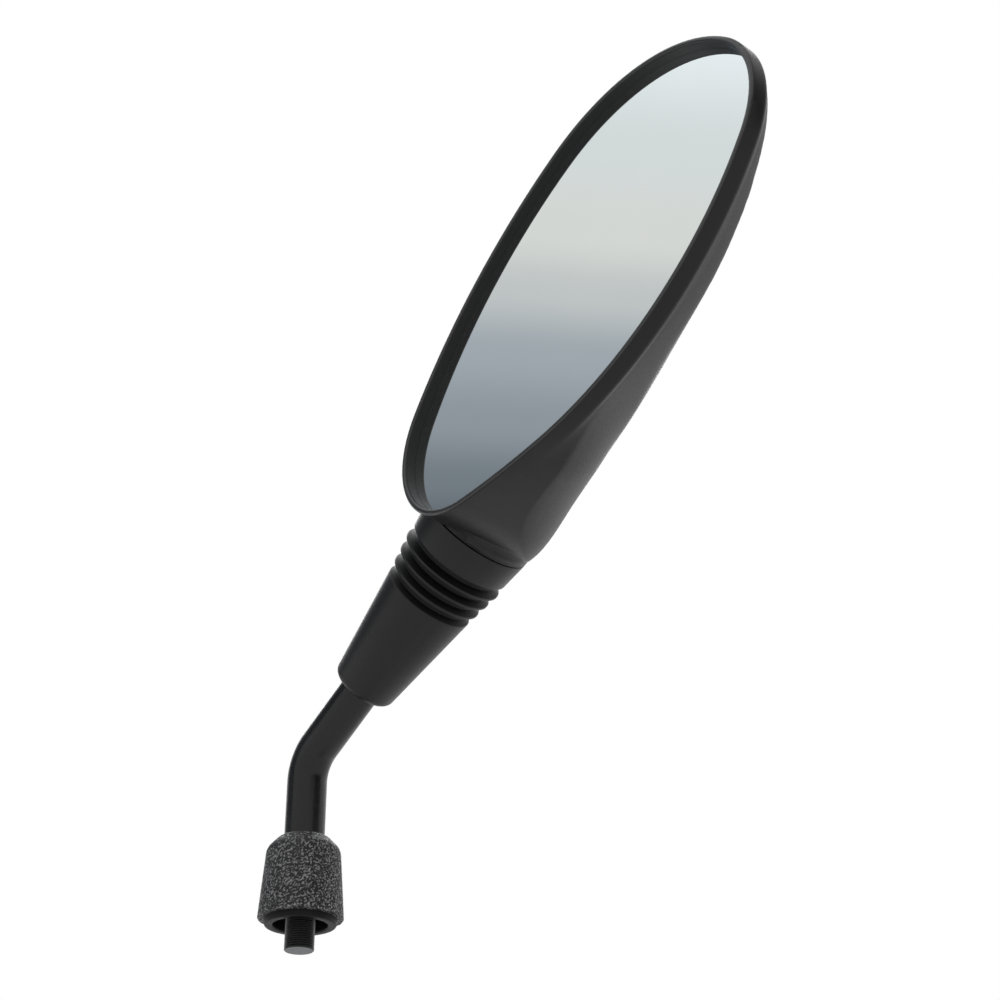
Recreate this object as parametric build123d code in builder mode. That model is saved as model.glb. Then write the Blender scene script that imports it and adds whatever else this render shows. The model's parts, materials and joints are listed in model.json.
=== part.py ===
from build123d import *
from math import acos, cos, degrees, radians, sin, sqrt
import os

os.makedirs("parts", exist_ok=True)

# Stud and stem: a round steel bar, turned down to an M8 stud below and to a shank for the ball above.
# The origin is on the stud's axis, in the plane where the mirror seats on the handlebar fitting.
STUD_D = 8.0
STUD_FREE = 6.6
STUD_CHAMFER = 0.25
RELIEF_Z = 3.6
RELIEF_WIDTH = 1.2
RELIEF_D = 6.6
STEM_D = 10.9
STEM_SHOULDER_Z = 15.0
SHOULDER_CHAMFER = 1.0
BEND_Z = 46.2
BEND_RADIUS = 11.0
BEND_ANGLE = 58.0

# Lock nut, nut cap and the smooth sleeve that lines the cap
NUT_FLATS = 12.0
NUT_HEIGHT = 6.5
NUT_Z = 5.0
NUT_CHAMFER = 0.6
SLEEVE_OUTER_D = 19.2
SLEEVE_INNER_D = 14.6
SLEEVE_HEIGHT = 15.0
SLEEVE_ROUNDING = 0.5
CAP_Z = 1.8
CAP_HEIGHT = 22.2
CAP_BOTTOM_D = 23.0
CAP_SHOULDER_D = 20.0
CAP_TOP_D = 13.6
CAP_SHOULDER_DROP = 3.3
CAP_ROUNDING = 1.2
SLIDE_GAP = 0.3

# Ball joint in the head's neck, placed by its distance from the bend along the upper stem
BALL_A = 88.0
BALL_D = 13.0
BALL_FLAT = 4.6
SHANK_D = 7.0
SHANK_NECK = 12.0
SHANK_TAPER = 3.0
RING_GROOVE_D = 5.6
RING_OUTER_D = 9.2
RING_THICKNESS = 0.8
RING_OPENING = 3.4
SHANK_TIP = 1.0
JOINT_GAP = 0.3
LINER_THICKNESS = 1.0
LINER_LOW = -40.0
LINER_HIGH = 28.0
SEAT_THICKNESS = 2.1
SEAT_LOW = 5.2
SEAT_HIGH = 6.2
SEAT_SPLIT = 0.8
SPRING_INNER_D = 11.0
SPRING_OUTER_D = 18.6
SPRING_SHEET = 0.7
SPRING_HEIGHT = 1.4
PLATE_THICKNESS = 2.0
PLATE_HOLE_D = 9.8
SCREW_COUNT = 3
EAR_REACH = 1.5
SCREW_D = 2.5
SCREW_LENGTH = 8.0
SCREW_HEAD_D = 4.5
SCREW_HEAD_HEIGHT = 2.4
SCREW_SOCKET_FLATS = 2.0
SCREW_SOCKET_DEPTH = 1.3
SCREW_CLEARANCE = 0.2
WASHER_D = 4.8
WASHER_THICKNESS = 0.5
INSERT_D = 3.2
INSERT_WALL = 0.7
INSERT_LENGTH = 5.5

# Bellows boot: one moulding with a tapered sleeve, a collar and four grooves between them; each groove
# rises on a ramp to the thin land below it and runs square under the land above it. Land by land they
# stand a little further out of the cone.
BOOT_START = 27.6
BOOT_START_D = 17.5
BOOT_END_ROUNDING = 1.8
BOOT_END_D = 31.0
BOOT_GRIP_LENGTH = 20.0
BOOT_GRIP_GAP = 0.05
BOOT_FLARE = 6.0
BOOT_WALL = 1.6
GROOVE_COUNT = 4
FIRST_GROOVE = 60.47
GROOVE_WIDTH = 3.17
GROOVE_RAMP = 1.2
GROOVE_DEPTH = 1.8
LAND_WIDTH = 0.6
LAND_RISE = 0.17
COLLAR_LENGTH = 8.25
SEAM_GAP = 0.3
SPIGOT_D = 25.2
SPIGOT_LENGTH = 7.6
SPIGOT_BORE_D = 19.4
SPIGOT_STEP = 0.5

# Mirror head: egg-shaped lip in the glass plane, a little fuller on its outer side. It is drawn as six
# tangent arcs: outer flank, outer shoulder, crown, inner shoulder, inner flank and nose. The joins are
# the directions, from the head's length, in which each arc starts; the shoulders close the outline.
HEAD_TURN = 7.0
LIP_FRONT = 23.1
HEAD_LENGTH = 139.7
NOSE_RADIUS = 0.1984 * HEAD_LENGTH
OUTER_FLANK_RADIUS = 1.045 * HEAD_LENGTH
CROWN_RADIUS = 0.2208 * HEAD_LENGTH
INNER_FLANK_RADIUS = 1.711 * HEAD_LENGTH
EGG_JOINS = (120.97, 90.04, 13.46, -57.19, -112.02, -119.07)
NECK_END_D = 31.6
NECK_LENGTH = 12.0
LIP_WALL = 1.8
LIP_ROUNDING = 0.8
BACK_WALL = 1.9
BACK_ROUNDING = 2.4
LEDGE_DEPTH = 4.5
LEDGE_WIDTH = 3.2
FORM_DEPTH = 60.0

# Cross-sections of the head's back: share of the head's length from the nose end, ellipse centre in
# front of the lip plane, how far the ellipse stands outside the lip's outline, and half depth
BACK_SECTIONS = [
    (-0.007, -16.0, 18.0, 21.0),
    (0.082, -9.5, 2.1, 29.4),
    (0.193, -0.5, 2.2, 35.6),
    (0.387, 8.0, 3.2, 39.4),
    (0.573, 10.5, 6.4, 35.4),
    (0.759, 12.0, 23.6, 26.7),
    (0.873, 12.0, 43.0, 21.5),
    (1.0, 12.0, 87.0, 18.5),
]

# Convex glass, the foam pad behind it and the carrier plate
GLASS_CURVE = 1400.0
GLASS_THICKNESS = 1.6
GLASS_RECESS = 1.2
GLASS_GAP = 0.35
PAD_INSET = 8.0
CARRIER_INSET = 18.0
CARRIER_DEPTH = LEDGE_DEPTH
CARRIER_THICKNESS = 1.6
CARRIER_SCREW_ROWS = (0.272, 0.716)
CARRIER_EDGE = 4.0
CARRIER_SCREW_D = 2.9
CARRIER_SCREW_LENGTH = 6.0
CARRIER_HEAD_D = 5.4
CARRIER_HEAD_HEIGHT = 1.4
BOSS_D = 6.4
RIB_THICKNESS = 1.5
RIB_SPAN = (0.358, 0.873)
RIB_ROWS = (0.43, 0.573)

# Radii and directions worked out from the sizes above
stem_r = STEM_D / 2
bend = Vector(0, 0, BEND_Z)
tilt = radians(BEND_ANGLE)
arm_dir = Vector(sin(tilt), 0, cos(tilt))
arm_side = Vector(cos(tilt), 0, -sin(tilt))
turn = radians(-90 - HEAD_TURN)
glass_dir = arm_side * cos(turn) + Vector(0, 1, 0) * sin(turn)
arm_axis = Axis(bend, arm_dir)
arm_plane = Plane(origin=bend, x_dir=arm_side, z_dir=(0, -1, 0))

groove_pitch = GROOVE_WIDTH + LAND_WIDTH
SEAM_A = FIRST_GROOVE + GROOVE_COUNT * groove_pitch - LAND_WIDTH + COLLAR_LENGTH
nose_end = bend + arm_dir * SEAM_A + glass_dir * LIP_FRONT
lip_plane = Plane(origin=nose_end, x_dir=arm_dir, z_dir=glass_dir)
width_dir = lip_plane.y_dir


def heading(angle):
    return Vector(cos(radians(angle)), sin(radians(angle)))


# The shoulders' radii are the two that bring the chain of arcs back to where it starts
chords = [heading(EGG_JOINS[k - 5]) - heading(EGG_JOINS[k]) for k in range(6)]
rest = chords[0] * OUTER_FLANK_RADIUS + chords[2] * CROWN_RADIUS
rest = rest + chords[4] * INNER_FLANK_RADIUS + chords[5] * NOSE_RADIUS
closing = chords[1].cross(chords[3]).Z
outer_shoulder_radius = chords[3].cross(rest).Z / closing
inner_shoulder_radius = rest.cross(chords[1]).Z / closing
egg_radii = [
    OUTER_FLANK_RADIUS,
    outer_shoulder_radius,
    CROWN_RADIUS,
    inner_shoulder_radius,
    INNER_FLANK_RADIUS,
    NOSE_RADIUS,
]
egg_centres = [heading(EGG_JOINS[0]) * (NOSE_RADIUS - OUTER_FLANK_RADIUS)]
for k in range(1, 6):
    step = heading(EGG_JOINS[k]) * (egg_radii[k - 1] - egg_radii[k])
    egg_centres.append(egg_centres[-1] + step)
egg_shift = Vector(HEAD_LENGTH - CROWN_RADIUS - egg_centres[2].X, 0)
egg_centres = [centre + egg_shift for centre in egg_centres]
egg_starts = [*EGG_JOINS[1:], EGG_JOINS[0] - 360]
egg_sizes = [high - low for high, low in zip(EGG_JOINS, egg_starts)]


def arm_section(distance):
    return Plane(origin=bend + arm_dir * distance, x_dir=width_dir, z_dir=arm_dir)


def head_section(along):
    return Plane(origin=nose_end + arm_dir * along, x_dir=width_dir, z_dir=arm_dir)


def glass_level(depth):
    return lip_plane.offset(-depth)


def egg(plane, inset):
    with BuildSketch(plane) as outline:
        with BuildLine():
            for centre, radius, start, size in zip(egg_centres, egg_radii, egg_starts, egg_sizes):
                CenterArc(centre, radius - inset, start, size)
        make_face()
    return outline.sketch


def egg_edge(along, side):
    for centre, radius, start, size in zip(egg_centres, egg_radii, egg_starts, egg_sizes):
        reach = (along - centre.X) / radius
        if abs(reach) < 1:
            angle = side * degrees(acos(reach))
            if (angle - start) % 360 <= size:
                return centre.Y + radius * sin(radians(angle))
    return 0


def back_loft(wall):
    with BuildPart() as form:
        for share, centre, margin, half_depth in BACK_SECTIONS:
            along = share * HEAD_LENGTH
            outer, inner = egg_edge(along, 1), egg_edge(along, -1)
            half_width = (outer - inner) / 2 + margin
            with BuildSketch(head_section(along)):
                with Locations(((outer + inner) / 2, centre)):
                    Ellipse(half_width - wall, half_depth - wall)
        loft()
    return form.part


# Stem: swept bar with the stud below its shoulder, relieved under the nut, and the shank above
STEM_END = BALL_A - SHANK_NECK - SHANK_TAPER
SHANK_START = BALL_A - SHANK_NECK
RING_A = BALL_A + BALL_FLAT
SHANK_END = RING_A + RING_THICKNESS + SHANK_TIP
with BuildPart() as stem:
    with BuildLine(Plane.XZ) as centre_line:
        arm_end = bend + arm_dir * STEM_END
        FilletPolyline(
            (0, STEM_SHOULDER_Z), (0, BEND_Z), (arm_end.X, arm_end.Z), radius=BEND_RADIUS
        )
    with BuildSketch(Plane.XY.offset(STEM_SHOULDER_Z)):
        Circle(stem_r)
    sweep()
    chamfer(stem.faces().sort_by(Axis.Z)[0].edges(), length=SHOULDER_CHAMFER)
    with BuildSketch(Plane.XY.offset(-STUD_FREE)):
        Circle(STUD_D / 2)
    extrude(amount=STUD_FREE + STEM_SHOULDER_Z)
    chamfer(stem.faces().sort_by(Axis.Z)[0].edges(), length=STUD_CHAMFER)
    with BuildSketch(Plane.XY.offset(RELIEF_Z)):
        Circle(STUD_D / 2)
        Circle(RELIEF_D / 2, mode=Mode.SUBTRACT)
    extrude(amount=RELIEF_WIDTH, mode=Mode.SUBTRACT)
    with BuildSketch(arm_plane):
        with BuildLine():
            Polyline(
                (0, STEM_END),
                (stem_r, STEM_END),
                (SHANK_D / 2, SHANK_START),
                (SHANK_D / 2, RING_A),
                (RING_GROOVE_D / 2, RING_A),
                (RING_GROOVE_D / 2, RING_A + RING_THICKNESS),
                (SHANK_D / 2, RING_A + RING_THICKNESS),
                (SHANK_D / 2, SHANK_END),
                (0, SHANK_END),
                close=True,
            )
        make_face()
    revolve(axis=arm_axis)
stem.part.label = "stem"
export_step(stem.part, "parts/stem.step")

# Ball, bored to sit on the shank, with a flat at each end of the bore
with BuildPart() as pivot_ball:
    with BuildSketch(arm_plane):
        with Locations((0, BALL_A)):
            Circle(BALL_D / 2)
            Rectangle(BALL_D, 2 * BALL_FLAT, mode=Mode.INTERSECT)
            Rectangle(SHANK_D, BALL_D, mode=Mode.SUBTRACT)
        with Locations((-BALL_D / 2, BALL_A)):
            Rectangle(BALL_D, 2 * BALL_D, mode=Mode.SUBTRACT)
    revolve(axis=arm_axis)
pivot_ball.part.label = "pivot_ball"
export_step(pivot_ball.part, "parts/pivot_ball.step")

# Snap ring in the shank's groove, open at one side
with BuildPart() as snap_ring:
    with BuildSketch(arm_section(RING_A)):
        Circle(RING_OUTER_D / 2)
        Circle(RING_GROOVE_D / 2, mode=Mode.SUBTRACT)
        with Locations((RING_OUTER_D / 2, 0)):
            Rectangle(RING_OUTER_D, RING_OPENING, mode=Mode.SUBTRACT)
    extrude(amount=RING_THICKNESS)
snap_ring.part.label = "snap_ring"
export_step(snap_ring.part, "parts/snap_ring.step")


# Ball liner: a nylon barrel that is round inside and outside
liner_inner = BALL_D / 2 + JOINT_GAP
liner_outer = liner_inner + LINER_THICKNESS
with BuildPart() as ball_liner:
    with BuildSketch(arm_plane):
        with BuildLine():
            liner_sweep = LINER_HIGH - LINER_LOW
            outer_arc = CenterArc((0, BALL_A), liner_outer, LINER_LOW, liner_sweep)
            inner_arc = CenterArc((0, BALL_A), liner_inner, LINER_LOW, liner_sweep)
            Line(outer_arc @ 0, inner_arc @ 0)
            Line(outer_arc @ 1, inner_arc @ 1)
        make_face()
    revolve(axis=arm_axis)
ball_liner.part.label = "ball_liner"
export_step(ball_liner.part, "parts/ball_liner.step")

# Two seats that hold the liner from below and from above
seat_inner = liner_outer + JOINT_GAP
seat_outer = seat_inner + SEAT_THICKNESS
seat_bore = seat_outer + JOINT_GAP
seat_base = BALL_A - SEAT_LOW
seat_top = BALL_A + SEAT_HIGH
with BuildPart() as lower_seat:
    with BuildSketch(arm_plane):
        with Locations((seat_outer / 2, (seat_base + BALL_A - SEAT_SPLIT / 2) / 2)):
            Rectangle(seat_outer, BALL_A - SEAT_SPLIT / 2 - seat_base)
        with Locations((0, BALL_A)):
            Circle(seat_inner, mode=Mode.SUBTRACT)
    revolve(axis=arm_axis)
lower_seat.part.label = "lower_seat"
export_step(lower_seat.part, "parts/lower_seat.step")

with BuildPart() as upper_seat:
    with BuildSketch(arm_plane):
        with Locations((seat_outer / 2, (seat_top + BALL_A + SEAT_SPLIT / 2) / 2)):
            Rectangle(seat_outer, seat_top - BALL_A - SEAT_SPLIT / 2)
        with Locations((0, BALL_A)):
            Circle(seat_inner, mode=Mode.SUBTRACT)
    revolve(axis=arm_axis)
upper_seat.part.label = "upper_seat"
export_step(upper_seat.part, "parts/upper_seat.step")

# Disc spring: a coned washer between the upper seat and the clamp plate
plate_a = seat_top + SPRING_HEIGHT
spring_rise = SPRING_HEIGHT - SPRING_SHEET
with BuildPart() as disc_spring:
    with BuildSketch(arm_plane):
        with BuildLine():
            Polyline(
                (SPRING_OUTER_D / 2, seat_top),
                (SPRING_OUTER_D / 2, seat_top + SPRING_SHEET),
                (SPRING_INNER_D / 2, plate_a),
                (SPRING_INNER_D / 2, seat_top + spring_rise),
                close=True,
            )
        make_face()
    revolve(axis=arm_axis)
disc_spring.part.label = "disc_spring"
export_step(disc_spring.part, "parts/disc_spring.step")

# Clamp plate: a round plate with an ear at each screw
ear_r = SCREW_HEAD_D / 2
screw_circle_r = seat_bore + INSERT_WALL + INSERT_D / 2
with BuildPart() as clamp_plate:
    with BuildSketch(arm_section(plate_a)):
        Circle(screw_circle_r - EAR_REACH)
        with PolarLocations(screw_circle_r, SCREW_COUNT, start_angle=90):
            Circle(ear_r)
            Circle(SCREW_D / 2 + SCREW_CLEARANCE, mode=Mode.SUBTRACT)
        Circle(PLATE_HOLE_D / 2, mode=Mode.SUBTRACT)
    extrude(amount=PLATE_THICKNESS)
clamp_plate.part.label = "clamp_plate"
export_step(clamp_plate.part, "parts/clamp_plate.step")

# Washers, screws and threaded inserts of the clamp
washer_a = plate_a + PLATE_THICKNESS
head_a = washer_a + WASHER_THICKNESS
with BuildPart() as clamp_washers:
    with BuildSketch(arm_section(washer_a)):
        with PolarLocations(screw_circle_r, SCREW_COUNT, start_angle=90):
            Circle(WASHER_D / 2)
            Circle(SCREW_D / 2 + SCREW_CLEARANCE / 2, mode=Mode.SUBTRACT)
    extrude(amount=WASHER_THICKNESS)
clamp_washers.part.label = "clamp_washers"
export_step(clamp_washers.part, "parts/clamp_washers.step")

with BuildPart() as clamp_screws:
    with BuildSketch(arm_section(head_a)):
        with PolarLocations(screw_circle_r, SCREW_COUNT, start_angle=90):
            Circle(SCREW_HEAD_D / 2)
    extrude(amount=SCREW_HEAD_HEIGHT)
    with BuildSketch(arm_section(head_a + SCREW_HEAD_HEIGHT)):
        with PolarLocations(screw_circle_r, SCREW_COUNT, start_angle=90):
            RegularPolygon(SCREW_SOCKET_FLATS / 2, 6, major_radius=False)
    extrude(amount=-SCREW_SOCKET_DEPTH, mode=Mode.SUBTRACT)
    with BuildSketch(arm_section(head_a)):
        with PolarLocations(screw_circle_r, SCREW_COUNT, start_angle=90):
            Circle(SCREW_D / 2)
    extrude(amount=-SCREW_LENGTH)
clamp_screws.part.label = "clamp_screws"
export_step(clamp_screws.part, "parts/clamp_screws.step")

with BuildPart() as clamp_inserts:
    with BuildSketch(arm_section(plate_a)):
        with PolarLocations(screw_circle_r, SCREW_COUNT, start_angle=90):
            Circle(INSERT_D / 2)
            Circle(SCREW_D / 2, mode=Mode.SUBTRACT)
    extrude(amount=-INSERT_LENGTH)
clamp_inserts.part.label = "clamp_inserts"
export_step(clamp_inserts.part, "parts/clamp_inserts.step")

# Mirror glass: the egg outline cut from a shallow dome
glass_centre = lip_plane.from_local_coords(Vector(HEAD_LENGTH / 2, 0, 0))
dome_plane = Plane(origin=glass_centre, x_dir=arm_dir, z_dir=arm_dir.cross(glass_dir))
dome_axis = Axis(glass_centre, glass_dir)
dome_reach = HEAD_LENGTH


def dome_drop(radius, reach):
    return radius - sqrt(radius**2 - reach**2)


glass_back_curve = GLASS_CURVE - GLASS_THICKNESS
glass_back = GLASS_RECESS + GLASS_THICKNESS
with BuildPart() as mirror_glass:
    extrude(egg(lip_plane, LIP_WALL + GLASS_GAP), amount=-FORM_DEPTH)
    with BuildSketch(dome_plane):
        with BuildLine():
            front = RadiusArc(
                (0, -GLASS_RECESS),
                (dome_reach, -GLASS_RECESS - dome_drop(GLASS_CURVE, dome_reach)),
                GLASS_CURVE,
            )
            back = RadiusArc(
                (0, -glass_back),
                (dome_reach, -glass_back - dome_drop(glass_back_curve, dome_reach)),
                glass_back_curve,
            )
            Line(front @ 0, back @ 0)
            Line(front @ 1, back @ 1)
        make_face()
    revolve(axis=dome_axis, mode=Mode.INTERSECT)
mirror_glass.part.label = "mirror_glass"
export_step(mirror_glass.part, "parts/mirror_glass.step")

# Foam pad: domed in front to follow the glass, flat behind
with BuildPart() as glass_pad:
    extrude(egg(lip_plane, PAD_INSET), amount=-CARRIER_DEPTH)
    with BuildSketch(dome_plane):
        with BuildLine():
            back = RadiusArc(
                (0, -glass_back),
                (dome_reach, -glass_back - dome_drop(glass_back_curve, dome_reach)),
                glass_back_curve,
            )
            Polyline(back @ 0, (0, -FORM_DEPTH), (dome_reach, -FORM_DEPTH), back @ 1)
        make_face()
    revolve(axis=dome_axis, mode=Mode.INTERSECT)
glass_pad.part.label = "glass_pad"
export_step(glass_pad.part, "parts/glass_pad.step")

# Carrier plate that the pad is stuck to, screwed to bosses in the head
carrier_spots = [
    (row, egg_edge(row, side) - side * (CARRIER_INSET + CARRIER_EDGE))
    for row in [share * HEAD_LENGTH for share in CARRIER_SCREW_ROWS]
    for side in (-1, 1)
]
carrier_back = CARRIER_DEPTH + CARRIER_THICKNESS
carrier_hole_r = CARRIER_SCREW_D / 2 + SCREW_CLEARANCE
carrier_sink_r = CARRIER_HEAD_D / 2 + SCREW_CLEARANCE
with BuildPart() as glass_carrier:
    extrude(egg(glass_level(CARRIER_DEPTH), CARRIER_INSET), amount=-CARRIER_THICKNESS)
    with Locations(glass_level(CARRIER_DEPTH)):
        with Locations(*carrier_spots):
            CounterSinkHole(carrier_hole_r, carrier_sink_r, FORM_DEPTH)
glass_carrier.part.label = "glass_carrier"
export_step(glass_carrier.part, "parts/glass_carrier.step")

with BuildPart() as carrier_screws:
    with BuildSketch(glass_level(CARRIER_DEPTH)):
        with Locations(*carrier_spots):
            Circle(CARRIER_SCREW_D / 2)
    extrude(amount=-CARRIER_SCREW_LENGTH)
    with Locations(glass_level(CARRIER_DEPTH + CARRIER_HEAD_HEIGHT / 2)):
        with Locations(*carrier_spots):
            Cone(CARRIER_SCREW_D / 2, CARRIER_HEAD_D / 2, CARRIER_HEAD_HEIGHT)
carrier_screws.part.label = "carrier_screws"
export_step(carrier_screws.part, "parts/carrier_screws.step")

# Hollow of the head, with the bosses and ribs left standing in it
hollow_start = plate_a - SEAM_A
hollow_inset = LIP_WALL + LEDGE_WIDTH
with BuildPart() as hollow:
    add(back_loft(BACK_WALL))
    extrude(egg(glass_level(LEDGE_DEPTH), hollow_inset), amount=-FORM_DEPTH, mode=Mode.INTERSECT)
    with BuildSketch(head_section(hollow_start)):
        Rectangle(HEAD_LENGTH, HEAD_LENGTH)
    extrude(amount=-HEAD_LENGTH, mode=Mode.SUBTRACT)
    with BuildSketch(glass_level(carrier_back)):
        with Locations(*carrier_spots):
            Circle(BOSS_D / 2)
        with Locations((sum(RIB_SPAN) / 2 * HEAD_LENGTH, 0)):
            Rectangle((RIB_SPAN[1] - RIB_SPAN[0]) * HEAD_LENGTH, RIB_THICKNESS)
        for share in RIB_ROWS:
            with Locations((share * HEAD_LENGTH, 0)):
                Rectangle(RIB_THICKNESS, HEAD_LENGTH)
    extrude(amount=-FORM_DEPTH, mode=Mode.SUBTRACT)

# Head shell: the egg outline run back into the domed form, with the round neck below
neck_start = SEAM_A + SEAM_GAP
neck_end = SEAM_A + NECK_LENGTH
spigot_end = SEAM_A - SPIGOT_LENGTH
with BuildPart() as head_shell:
    add(back_loft(0))
    extrude(egg(lip_plane, 0), amount=-FORM_DEPTH, mode=Mode.INTERSECT)
    walls = head_shell.faces().filter_by(GeomType.CYLINDER)
    back = head_shell.faces().filter_by(GeomType.BSPLINE)
    rim = [edge for edge in back.edges() if edge in walls.edges()]
    fillet(rim, radius=BACK_ROUNDING)
    with BuildSketch(arm_section(spigot_end)):
        Circle(BOOT_END_D / 2 + SEAM_GAP)
    extrude(amount=neck_start - spigot_end, mode=Mode.SUBTRACT)
    with BuildSketch(arm_plane):
        with BuildLine():
            Polyline(
                (0, neck_start),
                (BOOT_END_D / 2, neck_start),
                (NECK_END_D / 2, neck_end),
                (0, neck_end),
                close=True,
            )
        make_face()
    revolve(axis=arm_axis)
    with BuildSketch(arm_section(spigot_end)):
        Circle(SPIGOT_D / 2)
    extrude(amount=SPIGOT_LENGTH + NECK_LENGTH)
    add(hollow.part, mode=Mode.SUBTRACT)
    extrude(egg(lip_plane, LIP_WALL), amount=-LEDGE_DEPTH, mode=Mode.SUBTRACT)
    lip_face = head_shell.faces().filter_by(lambda face: face.is_coplanar(lip_plane))
    fillet(lip_face.edges(), radius=LIP_ROUNDING)
    with BuildSketch(arm_section(seat_base)):
        Circle(seat_bore)
    extrude(amount=plate_a - seat_base, mode=Mode.SUBTRACT)
    with BuildSketch(arm_section(spigot_end)):
        Circle(SPIGOT_BORE_D / 2)
    extrude(amount=SPIGOT_LENGTH + NECK_LENGTH, mode=Mode.SUBTRACT)
    with BuildSketch(arm_section(plate_a)):
        with PolarLocations(screw_circle_r, SCREW_COUNT, start_angle=90):
            Circle(INSERT_D / 2)
    extrude(amount=-INSERT_LENGTH, mode=Mode.SUBTRACT)
    with BuildSketch(glass_level(carrier_back)):
        with Locations(*carrier_spots):
            Circle(CARRIER_SCREW_D / 2)
    extrude(amount=-CARRIER_SCREW_LENGTH + CARRIER_THICKNESS, mode=Mode.SUBTRACT)
head_shell.part.label = "head_shell"
export_step(head_shell.part, "parts/head_shell.step")

# Bellows boot: turned outline with the grooves cut into its cone
boot_slope = (BOOT_END_D - BOOT_START_D) / 2 / (SEAM_A - BOOT_START)


def boot_r(distance):
    return BOOT_START_D / 2 + boot_slope * (distance - BOOT_START)


collar_bore = SPIGOT_D / 2 + SLIDE_GAP
collar_seat = spigot_end - SPIGOT_STEP
grip_end = BOOT_START + BOOT_GRIP_LENGTH
flare_end = grip_end + BOOT_FLARE
grip_r = stem_r + BOOT_GRIP_GAP
with BuildPart() as bellows_boot:
    with BuildSketch(arm_plane):
        with BuildLine():
            outline = [(grip_r, BOOT_START), (BOOT_START_D / 2, BOOT_START)]
            for groove in range(GROOVE_COUNT):
                low = FIRST_GROOVE + groove * groove_pitch
                high = low + GROOVE_WIDTH
                floor = boot_r(low) - GROOVE_DEPTH
                next_land = (groove + 1) % GROOVE_COUNT
                outline.append((boot_r(low) + groove * LAND_RISE, low))
                outline.append((floor, low + GROOVE_RAMP))
                outline.append((floor, high))
                outline.append((boot_r(high) + next_land * LAND_RISE, high))
            outline.append((boot_r(SEAM_A), SEAM_A))
            outline.append((collar_bore, SEAM_A))
            outline.append((collar_bore, collar_seat))
            outline.append((boot_r(collar_seat) - GROOVE_DEPTH - BOOT_WALL, collar_seat))
            outline.append((boot_r(FIRST_GROOVE) - GROOVE_DEPTH - BOOT_WALL, FIRST_GROOVE))
            outline.append((boot_r(flare_end) - GROOVE_DEPTH - BOOT_WALL, flare_end))
            outline.append((grip_r, grip_end))
            Polyline(*outline, close=True)
        make_face()
    revolve(axis=arm_axis)
    end_edges = bellows_boot.edges().filter_by(GeomType.CIRCLE).sort_by(arm_axis)
    fillet(end_edges.group_by(arm_axis)[0].sort_by(SortBy.RADIUS)[-1], radius=BOOT_END_ROUNDING)
bellows_boot.part.label = "bellows_boot"
export_step(bellows_boot.part, "parts/bellows_boot.step")

# Lock nut on the stud, with its corners turned off
nut_corner = NUT_FLATS / 3**0.5
nut_top = NUT_Z + NUT_HEIGHT
with BuildPart() as lock_nut:
    with BuildSketch(Plane.XY.offset(NUT_Z)):
        RegularPolygon(NUT_FLATS / 2, 6, major_radius=False)
        Circle(STUD_D / 2, mode=Mode.SUBTRACT)
    extrude(amount=NUT_HEIGHT)
    with BuildSketch(Plane.XZ):
        with BuildLine():
            Polyline(
                (0, NUT_Z),
                (NUT_FLATS / 2, NUT_Z),
                (nut_corner, NUT_Z + NUT_CHAMFER),
                (nut_corner, nut_top - NUT_CHAMFER),
                (NUT_FLATS / 2, nut_top),
                (0, nut_top),
                close=True,
            )
        make_face()
    revolve(axis=Axis.Z, mode=Mode.INTERSECT)
lock_nut.part.label = "lock_nut"
export_step(lock_nut.part, "parts/lock_nut.step")

# Smooth sleeve and the rubber cap moulded over it
with BuildPart() as cap_sleeve:
    with BuildSketch(Plane.XY):
        Circle(SLEEVE_OUTER_D / 2)
        Circle(SLEEVE_INNER_D / 2, mode=Mode.SUBTRACT)
    extrude(amount=SLEEVE_HEIGHT)
    fillet(cap_sleeve.faces().sort_by(Axis.Z)[0].edges(), radius=SLEEVE_ROUNDING)
cap_sleeve.part.label = "cap_sleeve"
export_step(cap_sleeve.part, "parts/cap_sleeve.step")

cap_top = CAP_Z + CAP_HEIGHT
cap_shoulder = cap_top - CAP_SHOULDER_DROP
cap_bore = stem_r + SLIDE_GAP
with BuildPart() as nut_cap:
    with BuildSketch(Plane.XZ):
        with BuildLine():
            Polyline(
                (SLEEVE_OUTER_D / 2, CAP_Z),
                (CAP_BOTTOM_D / 2, CAP_Z),
                (CAP_SHOULDER_D / 2, cap_shoulder),
                (CAP_TOP_D / 2, cap_top),
                (cap_bore, cap_top),
                (cap_bore, SLEEVE_HEIGHT),
                (SLEEVE_OUTER_D / 2, SLEEVE_HEIGHT),
                close=True,
            )
        make_face()
    revolve(axis=Axis.Z)
    rims = nut_cap.edges().filter_by(GeomType.CIRCLE).sort_by(SortBy.RADIUS)
    fillet(rims.group_by(SortBy.RADIUS)[-2], radius=CAP_ROUNDING)
nut_cap.part.label = "nut_cap"
export_step(nut_cap.part, "parts/nut_cap.step")
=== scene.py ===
import json
import bpy
import bmesh
from math import atan2, cos, degrees, hypot, pi, radians, sin, sqrt, tan
from mathutils import Matrix, Vector, noise

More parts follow.
